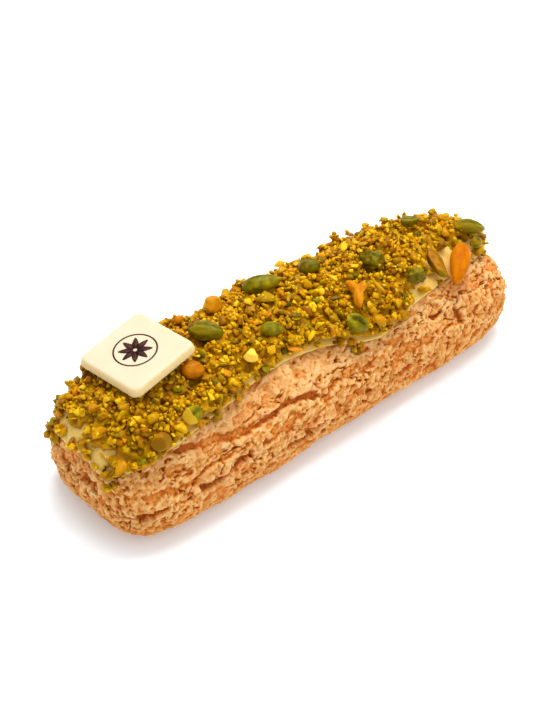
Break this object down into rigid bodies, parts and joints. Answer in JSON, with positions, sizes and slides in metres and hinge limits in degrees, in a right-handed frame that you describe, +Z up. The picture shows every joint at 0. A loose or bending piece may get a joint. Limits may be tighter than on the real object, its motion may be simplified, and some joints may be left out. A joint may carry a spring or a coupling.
{
  "type": "eclair",
  "caption": "Choux eclair with a crackled biscuit crust, pale icing, a layer of chopped pistachios, whole nuts and a small white chocolate plaque.",
  "frame": {"origin": "on the flat base, under the middle of the whole eclair", "axes": "+Z up, X along the length with the plaque near -X, -Y the front"},
  "size_m": [0.131, 0.043, 0.041],
  "materials": {
    "crust": "dry baked biscuit crust, pale ridges over browner cracks",
    "icing": "smooth pale cream icing with a soft shine",
    "chopped_nuts": "moist chopped pistachio, golden to olive",
    "white_chocolate": "smooth moulded white chocolate",
    "green_pistachio": "oily green kernel",
    "dark_pistachio": "oily dark olive kernel with some brown skin",
    "toasted_nut": "toasted orange-brown kernel, glossy",
    "golden_nut": "translucent golden nut piece"
  },
  "bodies": {
    "root": {"choux_bun": "crust", "icing": "icing", "nut_heap": "chopped_nuts", "plaque": "white_chocolate", "pistachio_back": "green_pistachio", "pistachio_dark": "dark_pistachio", "pistachio_middle": "green_pistachio", "pistachio_olive": "dark_pistachio", "pistachio_curled": "green_pistachio", "pistachio_far_end": "dark_pistachio", "pistachio_wedge": "dark_pistachio", "pistachio_pair": "dark_pistachio", "pistachio_cut": "green_pistachio", "pistachio_rough": "green_pistachio", "pistachio_rough_front": "dark_pistachio", "pistachio_cube": "green_pistachio", "toasted_round": "toasted_nut", "toasted_fork": "toasted_nut", "golden_chunk": "golden_nut", "almond_chunk": "golden_nut", "amber_chunk": "golden_nut", "pine_nut": "toasted_nut"}
  },
  "joints": []
}
